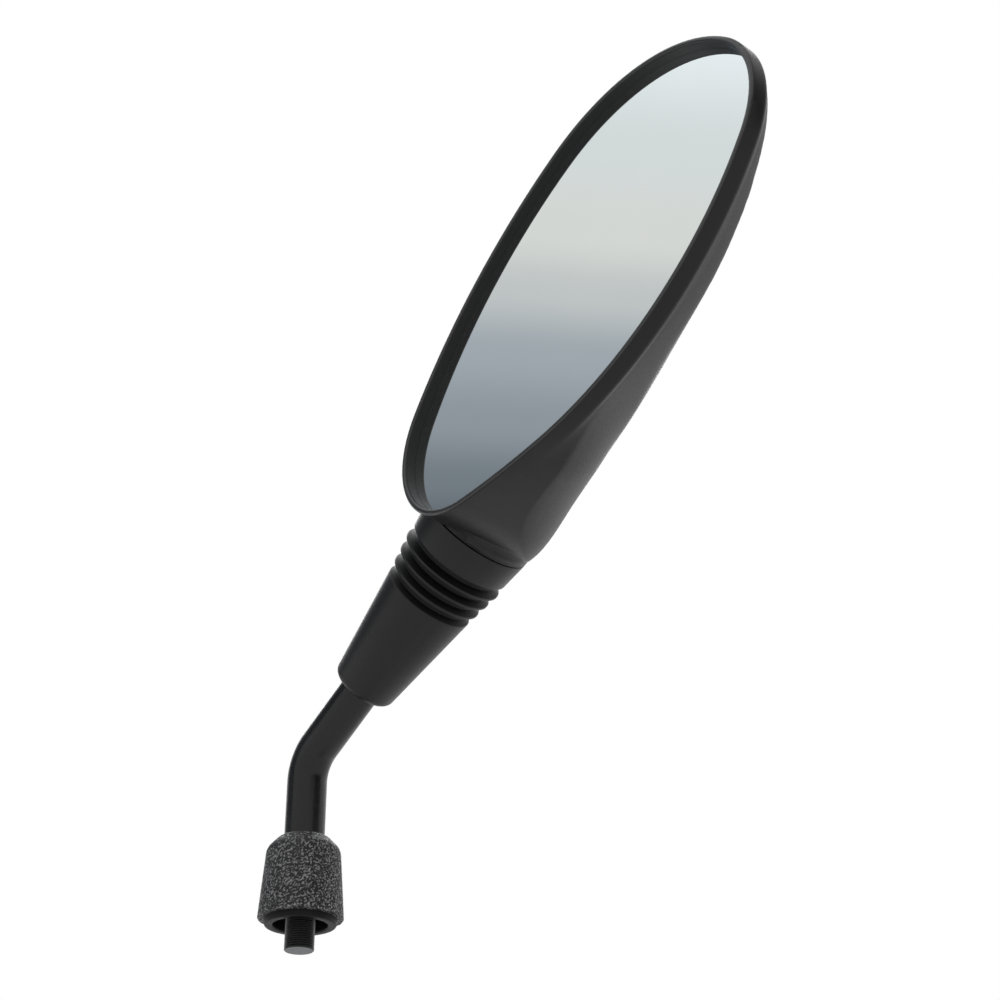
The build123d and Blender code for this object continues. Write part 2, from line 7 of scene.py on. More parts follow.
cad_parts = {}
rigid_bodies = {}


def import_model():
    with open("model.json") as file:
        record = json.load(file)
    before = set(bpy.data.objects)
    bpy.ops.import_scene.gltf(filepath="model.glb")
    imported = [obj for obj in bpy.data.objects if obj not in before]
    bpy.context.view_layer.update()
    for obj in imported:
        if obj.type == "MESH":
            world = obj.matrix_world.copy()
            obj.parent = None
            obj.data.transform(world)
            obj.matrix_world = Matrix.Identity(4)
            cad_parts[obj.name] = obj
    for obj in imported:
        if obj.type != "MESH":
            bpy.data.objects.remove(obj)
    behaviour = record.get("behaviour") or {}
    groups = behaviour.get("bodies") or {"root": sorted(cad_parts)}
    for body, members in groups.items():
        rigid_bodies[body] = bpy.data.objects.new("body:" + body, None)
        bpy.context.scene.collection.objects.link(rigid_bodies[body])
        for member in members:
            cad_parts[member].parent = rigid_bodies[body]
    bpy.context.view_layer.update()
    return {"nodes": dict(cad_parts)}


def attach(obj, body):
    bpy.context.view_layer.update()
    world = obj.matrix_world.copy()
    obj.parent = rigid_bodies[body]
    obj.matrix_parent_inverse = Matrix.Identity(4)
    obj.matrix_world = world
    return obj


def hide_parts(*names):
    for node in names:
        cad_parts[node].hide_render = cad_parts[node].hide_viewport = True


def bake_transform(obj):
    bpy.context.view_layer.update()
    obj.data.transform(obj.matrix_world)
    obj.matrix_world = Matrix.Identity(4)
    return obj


for leftover in list(bpy.data.objects):
    bpy.data.objects.remove(leftover)
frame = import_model()
print("frame loaded:", len(frame["nodes"]), "nodes")

mm = 0.001
# points closer than this become one
weld = 0.001 * mm

# the arm leans over from the bend in the stem; the head is turned a little about it
arm = {"lean": radians(58), "bendHeight": 46.2 * mm, "headTurn": radians(-7)}
armAlong = Vector((sin(arm["lean"]), 0, cos(arm["lean"])))
armSide = Vector((cos(arm["lean"]), 0, -sin(arm["lean"])))
bendPoint = Vector((0, 0, arm["bendHeight"]))
glassNormal = Matrix.Rotation(arm["headTurn"], 3, armAlong) @ Vector((0, -1, 0))
headWidth = glassNormal.cross(armAlong)


def frameOf(sideways, across, along, origin):
    turn = Matrix((sideways, across, along)).transposed()
    return Matrix.Translation(origin) @ turn.to_4x4()


armFrame = frameOf(armSide, Vector((0, 1, 0)), armAlong, bendPoint)

# the lip's frame: x along the arm from the boot's seam, y across the head, z out of the glass
lip = {"start": 83.2, "forward": 23.1}
lipCorner = bendPoint + armAlong * lip["start"] * mm + glassNormal * lip["forward"] * mm
lipFrame = frameOf(armAlong, headWidth, glassNormal, lipCorner)
toLip = lipFrame.inverted()


def hexColour(code):
    parts = [int(code[i:i + 2], 16) / 255 for i in (1, 3, 5)]
    return [p / 12.92 if p <= 0.04045 else ((p + 0.055) / 1.055) ** 2.4 for p in parts] + [1.0]


def addNode(tree, kind, inputs=None, **settings):
    node = tree.nodes.new(kind)
    for name, value in settings.items():
        setattr(node, name, value)
    for name, value in (inputs or {}).items():
        if isinstance(value, bpy.types.NodeSocket):
            tree.links.new(value, node.inputs[name])
        else:
            node.inputs[name].default_value = value
    return node


def startFinish(name):
    finish = bpy.data.materials.new(name)
    finish.use_nodes = True
    finish.node_tree.nodes.clear()
    return finish, finish.node_tree, addNode(finish.node_tree, "ShaderNodeTexCoord").outputs["Object"]


def endFinish(tree, look):
    shader = addNode(tree, "ShaderNodeBsdfPrincipled", look)
    addNode(tree, "ShaderNodeOutputMaterial", {"Surface": shader.outputs[0]})


# a moulded, painted or plated surface: slow patches in its colour, a fine grain in its relief and gloss;
# sizes are in millimetres, and a grain too fine to show is drawn a few tenths of a millimetre wide
def grainedFinish(name, look):
    finish, tree, place = startFinish(name)
    patches = addNode(tree, "ShaderNodeTexNoise", {
        "Vector": place, "Scale": 1 / (look["patch"] * mm), "Detail": 3.0, "Roughness": 0.55})
    colour = addNode(tree, "ShaderNodeMix", {
        0: patches.outputs[0], 6: hexColour(look["dark"]), 7: hexColour(look["light"])}, data_type="RGBA")
    grain = addNode(tree, "ShaderNodeTexNoise", {
        "Vector": place, "Scale": 1 / (look["grain"] * mm), "Detail": 2.0, "Roughness": 0.5})
    gloss = addNode(tree, "ShaderNodeMapRange", {
        "Value": grain.outputs[0], "From Min": 0.3, "From Max": 0.7,
        "To Min": look["gloss"][0], "To Max": look["gloss"][1]})
    relief = addNode(tree, "ShaderNodeBump", {
        "Height": grain.outputs[0], "Strength": look["relief"], "Distance": look["reliefDepth"] * mm})
    endFinish(tree, {
        "Base Color": colour.outputs[2], "Roughness": gloss.outputs[0], "Normal": relief.outputs[0],
        "Metallic": look.get("metallic", 0.0), "Specular IOR Level": look.get("specular", 0.5)})
    return finish


# injection-moulded ABS, fine spark texture: deep black with a soft even sheen
shellFinish = grainedFinish("mouldedAbsSatinBlack", {
    "dark": "#0b0b0c", "light": "#111112", "patch": 22, "grain": 0.45, "gloss": (0.39, 0.47),
    "relief": 0.25, "reliefDepth": 0.02, "specular": 0.3})

# the same moulding on the crest of the lip: a little shinier, and greyer as a painted highlight along the
# crest
crestHighlightFinish = grainedFinish("mouldedAbsCrestPaintedHighlight", {
    "dark": "#18181a", "light": "#202022", "patch": 12, "grain": 0.45, "gloss": (0.3, 0.4),
    "relief": 0.2, "reliefDepth": 0.02, "specular": 0.55})

# moulded rubber: black, much like the housing
bootFinish = grainedFinish("mouldedRubberBlack", {
    "dark": "#0a0a0b", "light": "#101011", "patch": 14, "grain": 0.5, "gloss": (0.36, 0.46),
    "relief": 0.3, "reliefDepth": 0.02, "specular": 0.32})

# the same rubber down in the grooves: dull as it left the mould, and darker as painted shade in the
# grooves
grooveShadeFinish = grainedFinish("mouldedRubberGroovePaintedShade", {
    "dark": "#08080a", "light": "#0d0d0e", "patch": 14, "grain": 0.5, "gloss": (0.48, 0.58),
    "relief": 0.3, "reliefDepth": 0.02, "specular": 0.2})

# stove-painted steel bar: black with a faint orange peel and a clear sheen
paintFinish = grainedFinish("stovePaintedSteelBlack", {
    "dark": "#0a0a0b", "light": "#0f0f10", "patch": 18, "grain": 1.6, "gloss": (0.24, 0.32),
    "relief": 0.12, "reliefDepth": 0.03, "specular": 0.34})

# rolled thread under thin black plating: dark, with paler worn patches
threadFinish = grainedFinish("blackPlatedThread", {
    "dark": "#141415", "light": "#262627", "patch": 2.5, "grain": 0.4, "gloss": (0.34, 0.5),
    "relief": 0.3, "reliefDepth": 0.02, "specular": 0.45})

# sawn and deburred end of the stud: bare grey steel with turning marks, which repeat at 0.31 of ringUnit
cut = {"ringUnit": 1.8, "mottle": 0.9, "markDepth": 0.05, "dark": "#55565a", "light": "#85868a"}
cutFinish, cutTree, cutPlace = startFinish("cutSteelTurned")
cutRings = addNode(cutTree, "ShaderNodeTexWave", {
    "Vector": cutPlace, "Scale": 1 / (cut["ringUnit"] * mm), "Distortion": 0.6, "Detail": 2.0},
    wave_type="RINGS", rings_direction="Z")
cutMottle = addNode(cutTree, "ShaderNodeTexNoise", {
    "Vector": cutPlace, "Scale": 1 / (cut["mottle"] * mm), "Detail": 4.0})
cutTone = addNode(cutTree, "ShaderNodeMix", {
    0: cutMottle.outputs[0], 6: hexColour(cut["dark"]), 7: hexColour(cut["light"])}, data_type="RGBA")
cutRelief = addNode(cutTree, "ShaderNodeBump", {
    "Height": cutRings.outputs[1], "Strength": 0.25, "Distance": cut["markDepth"] * mm})
endFinish(cutTree, {
    "Base Color": cutTone.outputs[2], "Metallic": 0.35, "Roughness": 0.55, "Normal": cutRelief.outputs[0]})

# spark-eroded rubber cap: creased pebbles, lighter grey on top as a painted highlight, with matt black
# painted shade in the hollows between them
capSkin = {"speckle": 0.5, "speckleDepth": 0.15, "hollow": "#0a0a0b", "litTop": "#a0a0a2"}
capFinish, capTree, capPlace = startFinish("pebbledRubberBlack")
capHeight = addNode(capTree, "ShaderNodeAttribute", attribute_name="pebble").outputs["Fac"]
capSpeckle = addNode(capTree, "ShaderNodeTexNoise", {
    "Vector": capPlace, "Scale": 1 / (capSkin["speckle"] * mm), "Detail": 2.0, "Roughness": 0.6})
# the tone follows pebble height: tops painted lighter as a painted highlight, hollows painted darker as
# painted shade
capTop = addNode(capTree, "ShaderNodeMath", {0: capHeight, 1: capSpeckle.outputs[0]}, operation="MULTIPLY")
capTone = addNode(capTree, "ShaderNodeMapRange", {
    "Value": capTop.outputs[0], "From Min": 0.2, "From Max": 0.62})
capColour = addNode(capTree, "ShaderNodeMix", {
    0: capTone.outputs[0], 6: hexColour(capSkin["hollow"]), 7: hexColour(capSkin["litTop"])},
    data_type="RGBA")
capGloss = addNode(capTree, "ShaderNodeMapRange", {"Value": capHeight, "To Min": 0.62, "To Max": 0.42})
capRelief = addNode(capTree, "ShaderNodeBump", {
    "Height": capSpeckle.outputs[0], "Strength": 0.5, "Distance": capSkin["speckleDepth"] * mm})
endFinish(capTree, {
    "Base Color": capColour.outputs[2], "Roughness": capGloss.outputs[0],
    "Normal": capRelief.outputs[0], "Specular IOR Level": 0.43})

# smooth moulded polypropylene: black, soft sheen
sleeveFinish = grainedFinish("mouldedPolypropyleneBlack", {
    "dark": "#0a0a0b", "light": "#0f0f10", "patch": 9, "grain": 0.5, "gloss": (0.46, 0.54),
    "relief": 0.15, "reliefDepth": 0.02, "specular": 0.18})

# silvered convex glass: a clean mirror with the faintest haze
silver = {"haze": 35, "dark": "#e6eaeb", "light": "#eceeee"}
mirrorFinish, mirrorTree, mirrorPlace = startFinish("silveredGlassPolished")
mirrorHaze = addNode(mirrorTree, "ShaderNodeTexNoise", {
    "Vector": mirrorPlace, "Scale": 1 / (silver["haze"] * mm), "Detail": 3.0})
mirrorGloss = addNode(mirrorTree, "ShaderNodeMapRange", {
    "Value": mirrorHaze.outputs[0], "From Min": 0.3, "From Max": 0.7, "To Min": 0.01, "To Max": 0.03})
mirrorTint = addNode(mirrorTree, "ShaderNodeMix", {
    0: mirrorHaze.outputs[0], 6: hexColour(silver["dark"]), 7: hexColour(silver["light"])},
    data_type="RGBA")
endFinish(mirrorTree, {
    "Base Color": mirrorTint.outputs[2], "Metallic": 1.0, "Roughness": mirrorGloss.outputs[0]})

# ground rim of the glass: pale grey-green, frosted
groundFinish = grainedFinish("groundGlassEdge", {
    "dark": "#7e8784", "light": "#a9b1ae", "patch": 3, "grain": 0.4, "gloss": (0.25, 0.4),
    "relief": 0.2, "reliefDepth": 0.02})
print("finishes ready")


# turns an outline of (radius, height, rounding) about z
def turnedShape(outline, steps, closed=True):
    bm = bmesh.new()
    points = [bm.verts.new((radius * mm, 0, height * mm)) for radius, height, rounding in outline]
    for here, there in zip(points, points[1:] + points[:1] if closed else points[1:]):
        bm.edges.new((here, there))
    for size in sorted({rounding for radius, height, rounding in outline} - {0}):
        corners = [p for p, (radius, height, rounding) in zip(points, outline) if rounding == size]
        bmesh.ops.bevel(bm, geom=corners, offset=size * mm, offset_type="OFFSET", affect="VERTICES",
                        segments=5, profile=0.5, material=-1)
    bmesh.ops.spin(bm, geom=bm.verts[:] + bm.edges[:], cent=(0, 0, 0), axis=(0, 0, 1), dvec=(0, 0, 0),
                   angle=2 * pi, steps=steps, use_merge=True)
    bmesh.ops.remove_doubles(bm, verts=bm.verts, dist=weld)
    bmesh.ops.recalc_face_normals(bm, faces=bm.faces)
    return bm


def finishPiece(bm, name, finishes, place=None, sharpAngle=35):
    if place:
        bmesh.ops.transform(bm, matrix=place, verts=bm.verts)
    mesh = bpy.data.meshes.new(name)
    bm.to_mesh(mesh)
    bm.free()
    for finish in finishes:
        mesh.materials.append(finish)
    mesh.shade_smooth()
    mesh.set_sharp_from_angle(angle=radians(sharpAngle))
    piece = bpy.data.objects.new(name, mesh)
    bpy.context.scene.collection.objects.link(piece)
    print("made", name, len(mesh.polygons), "faces")
    return piece


# stem: turned stud and bar, bent over, drawn down to the shank that carries the ball
stemShape = {"endFace": -6.6, "endRadius": 3.75, "chamfer": 0.2, "chamferStep": 0.04, "core": 3.42,
             "coreStart": 0.5, "reliefTop": 4.8, "relief": 3.6, "reliefRadius": 3.3, "stud": 3.98,
             "shoulder": 15, "bar": 5.45, "shoulderChamfer": 1.0, "shoulderRounding": 0.3,
             "bendRadius": 11, "bendSteps": 28, "barEnd": 73, "shankStart": 76, "shank": 3.5,
             "shankEnd": 94.4, "steps": 96, "slack": 0.01}
s = stemShape
bendTangent = s["bendRadius"] * tan(arm["lean"] / 2)
bendStart = arm["bendHeight"] / mm - bendTangent
bm = turnedShape([(0, s["endFace"], 0), (s["endRadius"], s["endFace"], 0),
                  (s["stud"] - s["chamferStep"], s["endFace"] + s["chamfer"], 0),
                  (s["core"], s["endFace"] + s["coreStart"], 0),
                  (s["core"], s["relief"], 0), (s["reliefRadius"], s["relief"], 0),
                  (s["reliefRadius"], s["reliefTop"], 0), (s["stud"], s["reliefTop"], 0),
                  (s["stud"], s["shoulder"], 0), (s["bar"] - s["shoulderChamfer"], s["shoulder"], 0),
                  (s["bar"], s["shoulder"] + s["shoulderChamfer"], s["shoulderRounding"]),
                  (s["bar"], bendStart, 0)],
                 s["steps"], closed=False)
for face in bm.faces:
    highest = max(v.co.z for v in face.verts)
    if highest < (s["endFace"] + s["slack"]) * mm:
        face.material_index = 1
    elif highest < s["shoulder"] * mm - weld:
        face.material_index = 2
rim = [e for e in bm.edges if e.is_boundary]
bent = bmesh.ops.spin(bm, geom=rim + list({v for e in rim for v in e.verts}), axis=(0, 1, 0),
                      dvec=(0, 0, 0), cent=(s["bendRadius"] * mm, 0, bendStart * mm), angle=arm["lean"],
                      steps=s["bendSteps"], use_merge=False)
rim = [g for g in bent["geom_last"] if isinstance(g, bmesh.types.BMEdge)]
along, width = bendTangent, s["bar"]
for reach, radius in ((s["barEnd"], s["bar"]), (s["shankStart"], s["shank"]), (s["shankEnd"], s["shank"])):
    drawn = bmesh.ops.extrude_edge_only(bm, edges=rim)["geom"]
    rim = [g for g in drawn if isinstance(g, bmesh.types.BMEdge)]
    ring = [g for g in drawn if isinstance(g, bmesh.types.BMVert)]
    bmesh.ops.translate(bm, vec=armAlong * (reach - along) * mm, verts=ring)
    bmesh.ops.scale(bm, vec=Vector((1, 1, 1)) * (radius / width), verts=ring,
                    space=Matrix.Translation(-(bendPoint + armAlong * reach * mm)))
    along, width = reach, radius
bmesh.ops.holes_fill(bm, edges=[e for e in bm.edges if e.is_boundary], sides=0)
bmesh.ops.remove_doubles(bm, verts=bm.verts, dist=weld)
bmesh.ops.recalc_face_normals(bm, faces=bm.faces)
stem = finishPiece(bm, "paintedStem", [paintFinish, cutFinish, threadFinish])
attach(stem, "stem")
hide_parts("stem")

# stud thread: one ridge wound round the core, as fine as the lines on the stud, trimmed at the chamfer;
# its profile is (radius, share of the pitch)
thread = {"pitch": 0.6, "from": -7.6, "trim": -6.35, "turns": 18, "steps": 64,
          "profile": ((3.2, 0), (3.6, 0.02), (3.98, 0.44), (3.98, 0.56), (3.6, 0.98), (3.2, 1))}
t = thread
bm = bmesh.new()
ridge = [bm.verts.new((radius * mm, 0, (t["from"] + up * t["pitch"]) * mm)) for radius, up in t["profile"]]
for here, there in zip(ridge, ridge[1:] + ridge[:1]):
    bm.edges.new((here, there))
bmesh.ops.spin(bm, geom=bm.verts[:] + bm.edges[:], cent=(0, 0, 0), axis=(0, 0, 1), use_merge=False,
               dvec=(0, 0, t["pitch"] * mm / t["steps"]), angle=2 * pi * t["turns"],
               steps=t["steps"] * t["turns"])
bmesh.ops.bisect_plane(bm, geom=bm.verts[:] + bm.edges[:] + bm.faces[:], plane_co=(0, 0, t["trim"] * mm),
                       plane_no=(0, 0, 1), dist=1e-8, clear_inner=True)
bmesh.ops.holes_fill(bm, edges=[e for e in bm.edges if e.is_boundary], sides=0)
bmesh.ops.recalc_face_normals(bm, faces=bm.faces)
studThread = finishPiece(bm, "studThread", [threadFinish], sharpAngle=25)
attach(studThread, "stem")

# boot: tapered sleeve, four grooves with thin lands between them, plain collar up to the seam
boot = {"start": 27.6, "seam": 83.2, "startRadius": 8.75, "seamRadius": 15.5, "endRounding": 1.8,
        "edgeRounding": 0.3, "grip": 5.5, "gripEnd": 47.6, "flareEnd": 53.6, "wall": 1.45,
        "collarBore": 12.9, "collarStart": 75.1, "firstGroove": 60.47, "pitch": 3.77, "grooves": 4,
        "width": 3.17, "ramp": 1.2, "depth": 1.8, "rise": 0.17, "strip": 0.95, "landRounding": 0.2,
        "wallRounding": 0.12, "bendFrom": 50, "splitAt": 66.3, "splitPoint": 7, "steps": 144}
b = boot


def bootRadius(along):
    taper = b["seamRadius"] - b["startRadius"]
    return b["startRadius"] + taper * (along - b["start"]) / (b["seam"] - b["start"])


def wallInside(along):
    return (bootRadius(along) - b["depth"] - b["wall"], along, 0)


# a ramp down from the land below, a narrow floor, and a square wall up to the land above
outside = []
for k in range(b["grooves"]):
    low = b["firstGroove"] + k * b["pitch"]
    high = low + b["width"]
    floorRadius = bootRadius(low) - b["depth"]
    nextRise = (k + 1) % b["grooves"] * b["rise"]
    outside += [(bootRadius(low) + k * b["rise"], low, b["landRounding"]),
                (floorRadius, low + b["ramp"], b["landRounding"]), (floorRadius, high - b["strip"], 0),
                (floorRadius, high, b["wallRounding"]),
                (bootRadius(high) + nextRise, high, b["wallRounding"])]

# the two halves meet on the floor of the second groove
splitRadius = outside[b["splitPoint"] - 1][0]
lower = [(b["grip"], b["start"], b["edgeRounding"]), (b["startRadius"], b["start"], b["endRounding"])]
lower += outside[:b["splitPoint"]]
lower += [(splitRadius, b["splitAt"], 0), wallInside(b["splitAt"]), wallInside(b["flareEnd"]),
          (b["grip"], b["gripEnd"], 0)]
upper = [(splitRadius, b["splitAt"], 0)] + outside[b["splitPoint"]:]
upper += [(b["seamRadius"], b["seam"], b["edgeRounding"]), (b["collarBore"], b["seam"], 0),
          (b["collarBore"], b["collarStart"], 0), wallInside(b["collarStart"]), wallInside(b["splitAt"])]
for name, outline, bodies, span in (
        ("bootSleeve", lower, ("stem", "liner"), (b["bendFrom"], b["splitAt"])),
        ("bootCollar", upper, ("liner", "seats"), (b["splitAt"], b["collarStart"]))):
    bm = turnedShape(outline, b["steps"])
    for face in bm.faces:
        middle = face.calc_center_median() / mm
        into = (middle.z - b["firstGroove"]) % b["pitch"]
        grooved = b["firstGroove"] < middle.z < b["firstGroove"] + b["grooves"] * b["pitch"]
        shadedSpan = b["landRounding"] < into < b["width"] - b["strip"]
        sunk = middle.xy.length < bootRadius(middle.z) - b["wallRounding"]
        # ramp and floor faces of the grooves take the darker finish: painted shade
        if grooved and shadedSpan and sunk and face.normal.xy.dot(middle.xy) > 0:
            face.material_index = 1
    piece = finishPiece(bm, name, [bootFinish, grooveShadeFinish], armFrame)
    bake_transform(piece)
    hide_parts("bellows_boot")

# nut cap: taper with a rounded shoulder on a smooth sleeve; its pebbles run together into slanting creases
cap = {"foot": 1.8, "footRadius": 11.5, "footRounding": 0.35, "shoulder": 20.7, "shoulderRadius": 10.0,
       "shoulderRounding": 1.2, "top": 24.0, "topRadius": 6.8, "topRounding": 0.5, "bore": 5.75,
       "boreRounding": 0.2, "inside": 15.0, "insideRadius": 9.6, "steps": 440, "sideLength": 10,
       "rows": 120, "shoulderLength": 1.5, "shoulderRows": 20, "slopeRise": 1.0, "footLength": 1.0,
       "footRows": 10, "slack": 0.01, "upward": 0.2, "skinFromBore": 0.4, "pebblesFromBore": 0.3,
       "pebblesFromInside": 0.1, "pebblesAbove": 1, "pebble": 0.38, "middling": 0.46, "coarse": 1.25,
       "fine": 0.4, "fineness": 2.1, "dent": 0.16, "crease": 0.4,
       "creaseAlong": Vector((0.55, 0.607, 0.574))}
p = cap
bm = turnedShape([(p["insideRadius"], p["foot"], 0), (p["footRadius"], p["foot"], p["footRounding"]),
                  (p["shoulderRadius"], p["shoulder"], p["shoulderRounding"]),
                  (p["topRadius"], p["top"], p["topRounding"]), (p["bore"], p["top"], p["boreRounding"]),
                  (p["bore"], p["inside"], 0), (p["insideRadius"], p["inside"], 0)],
                 p["steps"])
skin = [f for f in bm.faces if f.calc_center_median().xy.length > (p["bore"] + p["skinFromBore"]) * mm
        and (f.normal.z > p["upward"] or f.normal.xy.dot(f.calc_center_median().xy) > 0)]
slopes = [e for e in {e for f in skin for e in f.edges} if e.calc_length() > p["shoulderLength"] * mm
          and abs(e.verts[0].co.z - e.verts[1].co.z) > p["slopeRise"] * mm]
for longest, rows in ((p["sideLength"], p["rows"]), (0, p["shoulderRows"])):
    bmesh.ops.subdivide_edges(bm, cuts=rows, use_grid_fill=True, edges=[
        e for e in slopes if e.is_valid and e.calc_length() > longest * mm])
    slopes = [e for e in slopes if e.is_valid
              and p["shoulderLength"] * mm < e.calc_length() < p["sideLength"] * mm]
underside = [e for e in bm.edges if e.calc_length() > p["footLength"] * mm
             and max(v.co.z for v in e.verts) < (p["foot"] + p["slack"]) * mm]
bmesh.ops.subdivide_edges(bm, edges=underside, cuts=p["footRows"], use_grid_fill=True)
bm.normal_update()
pebbleHeight = bm.verts.layers.float.new("pebble")
dents = {}
for v in bm.verts:
    away = v.co.xy.length
    exposed = (away > (p["insideRadius"] + p["pebblesFromInside"]) * mm
               or v.co.z > (p["inside"] + p["pebblesAbove"]) * mm)
    if exposed and away > (p["bore"] + p["pebblesFromBore"]) * mm and v.normal.xy.dot(v.co.xy) > -1e-6:
        drawnOut = p["creaseAlong"] * (p["crease"] * p["creaseAlong"].dot(v.co))
        spot = (v.co - drawnOut) / (p["pebble"] * mm)
        lumps = (p["middling"] + p["coarse"] * noise.noise(spot)
                 + p["fine"] * noise.noise(spot * p["fineness"]))
        v[pebbleHeight] = min(max(lumps, 0), 1)
        dents[v] = v.normal * ((1 - v[pebbleHeight]) * p["dent"] * mm)
for v, dent in dents.items():
    v.co -= dent
nutCap = finishPiece(bm, "pebbledNutCap", [capFinish], sharpAngle=70)
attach(nutCap, "cap")
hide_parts("nut_cap")

# cap sleeve: a plain tube inside the cap that shows as a ring below it
sleeve = {"bore": 7.3, "radius": 9.6, "height": 15.0, "rounding": 0.5, "steps": 144}
bm = turnedShape([(sleeve["bore"], 0, sleeve["rounding"]), (sleeve["radius"], 0, sleeve["rounding"]),
                  (sleeve["radius"], sleeve["height"], 0), (sleeve["bore"], sleeve["height"], 0)],
                 sleeve["steps"])
capSleeve = finishPiece(bm, "smoothCapSleeve", [sleeveFinish])
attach(capSleeve, "cap")
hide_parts("cap_sleeve")

# mirror glass: egg outline of six arcs in the lip plane, cut into a grid and domed, with a narrow
# ground rim; each arc is its centre's x and y, its radius and the angle it starts at
glass = {"inset": 1.85, "length": 139.7, "apexDepth": 2.2, "domeRadius": 2400.0, "thick": 0.55,
         "cell": 4.0, "rim": 0.12, "arcStep": 1.2, "fewestSteps": 4, "join": 0.05, "frontFacing": 0.9,
         "arcs": ((87.842, -101.409, 145.986, 120.97), (87.776, -7.942, 52.519, 90.04),
                  (108.854, -2.897, 30.846, 13.46), (75.014, 49.593, 93.298, -57.19),
                  (129.652, 184.691, 239.027, -112.02), (26.981, 0, 27.716, -119.07))}
g = glass
bm = bmesh.new()
startX, startY, startRadius, startTurn = g["arcs"][0]
reach = startRadius - g["inset"]
tip = bm.verts.new(((startX + reach * cos(radians(startTurn))) * mm,
                    (startY + reach * sin(radians(startTurn))) * mm, 0))
for k, (x, y, radius, turn) in enumerate(g["arcs"]):
    swing = radians((turn - g["arcs"][(k + 1) % len(g["arcs"])][3]) % 360)
    swung = bmesh.ops.spin(bm, geom=[tip], cent=(x * mm, y * mm, 0), axis=(0, 0, -1), dvec=(0, 0, 0),
                           angle=swing, steps=max(int(swing * radius / g["arcStep"]), g["fewestSteps"]),
                           use_merge=False)
    tip = [v for v in swung["geom_last"] if isinstance(v, bmesh.types.BMVert)][0]
bmesh.ops.remove_doubles(bm, verts=bm.verts, dist=g["join"] * mm)
bmesh.ops.contextual_create(bm, geom=bm.edges[:])
if bm.faces[0].normal.z < 0:
    bmesh.ops.reverse_faces(bm, faces=bm.faces)
outer = bm.verts[:]
rimFaces = bmesh.ops.inset_region(bm, faces=bm.faces[:], thickness=g["rim"] * mm, use_even_offset=True)
for face in rimFaces["faces"]:
    face.material_index = 1
for v in outer:
    v.co.z = -g["rim"] * mm
cuts = int(g["length"] / g["cell"])
for k in range(1, cuts):
    for across, place in ((Vector((1, 0, 0)), Vector((k * g["cell"], 0, 0))),
                          (Vector((0, 1, 0)), Vector((0, (k - cuts / 2) * g["cell"], 0)))):
        bmesh.ops.bisect_plane(bm, geom=bm.verts[:] + bm.edges[:] + bm.faces[:], plane_co=place * mm,
                               plane_no=across, dist=1e-7)
for v in bm.verts:
    away = sqrt((v.co.x / mm - g["length"] / 2) ** 2 + (v.co.y / mm) ** 2)
    v.co.z -= (g["apexDepth"] + away * away / (2 * g["domeRadius"])) * mm
walls = bmesh.ops.extrude_face_region(bm, geom=bm.faces[:], use_keep_orig=True)["geom"]
bmesh.ops.translate(bm, vec=(0, 0, -g["thick"] * mm),
                    verts=[v for v in walls if isinstance(v, bmesh.types.BMVert)])
bmesh.ops.recalc_face_normals(bm, faces=bm.faces)
for face in bm.faces:
    if face.normal.z < g["frontFacing"]:
        face.material_index = 1
mirrorGlass = finishPiece(bm, "silveredGlass", [mirrorFinish, groundFinish], lipFrame, 20)
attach(mirrorGlass, "head")
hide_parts("mirror_glass")

# head shell: the moulded skin with its rim band, a soft edge behind it and flat flanks up to the domed
# back; pairs are the start and end of an easing or of the neck
shell = {"rim": 4.4, "flank": 0.73, "fade": (34, 62), "turnIn": (-0.5, 1.5), "soft": 1.0, "crest": 0.3,
         "cells": (5, 2.5, 1.4), "rows": (0.3, 3.6, 4.1, 4.6, 5.2, 6.0), "swell": 2.1,
         "swellRise": (58, 118), "swellFall": (122, 139), "swellInset": (6, 30), "swellDepth": (0.5, 5.0),
         "skinStart": 32, "skinDepth": 1.5, "skinInset": 30, "backShare": 0.5, "facing": 0.15,
         "neighbours": 0.6, "join": 0.02, "sliver": 0.01, "neck": (8, 32), "neckDepth": 30,
         "neckSliver": 0.1, "smoothStart": 40, "smoothDepth": 6.5, "smoothPasses": 3}
h = shell


def ease(value, low, high):
    share = min(max((value - low) / (high - low), 0), 1)
    return share * share * (3 - 2 * share)


# how far a point lies inside the lip's outline, and which way is out
def eggPlace(x, y):
    places = []
    for k, (middleX, middleY, radius, turn) in enumerate(g["arcs"]):
        nextTurn = g["arcs"][(k + 1) % len(g["arcs"])][3]
        angle = atan2(y - middleY, x - middleX)
        if (degrees(angle) - nextTurn) % 360 <= (turn - nextTurn) % 360:
            inset = radius - hypot(x - middleX, y - middleY)
            places.append((inset, Vector((cos(angle), sin(angle), 0))))
    return min(places, key=lambda place: abs(place[0])) if places else (99, Vector((0, 0, 0)))


# every point on the outer skin: its place in the lip's frame, how far inside the outline, which way is out
def outerSkin(bm):
    bm.normal_update()
    skin, doubtful = {}, {}
    for v in bm.verts:
        spot = (toLip @ v.co) / mm
        if spot.z < -h["skinDepth"] and spot.x > h["skinStart"]:
            inset, outward = eggPlace(spot.x, spot.y)
            facing = toLip.to_3x3() @ v.normal
            if inset < h["skinInset"]:
                facesOut = facing.dot(outward) - h["backShare"] * facing.z > h["facing"]
                (skin if facesOut else doubtful)[v] = (spot, max(inset, 0), outward)
    # a point on a sliver has no good normal of its own: it goes with most of its neighbours
    slivers = [v for v in doubtful if sum(e.other_vert(v) in skin for e in v.link_edges)
               > h["neighbours"] * len(v.link_edges)]
    skin.update({v: doubtful[v] for v in slivers})
    return skin


def onNeck(v):
    spot = (toLip @ v.co) / mm
    return h["neck"][0] < spot.x < h["neck"][1] and spot.z < -h["neckDepth"]


bm = bmesh.new()
bm.from_mesh(frame["nodes"]["head_shell"].data)
bmesh.ops.remove_doubles(bm, verts=bm.verts, dist=h["join"] * mm)
bmesh.ops.dissolve_degenerate(bm, dist=h["sliver"] * mm, edges=bm.edges)
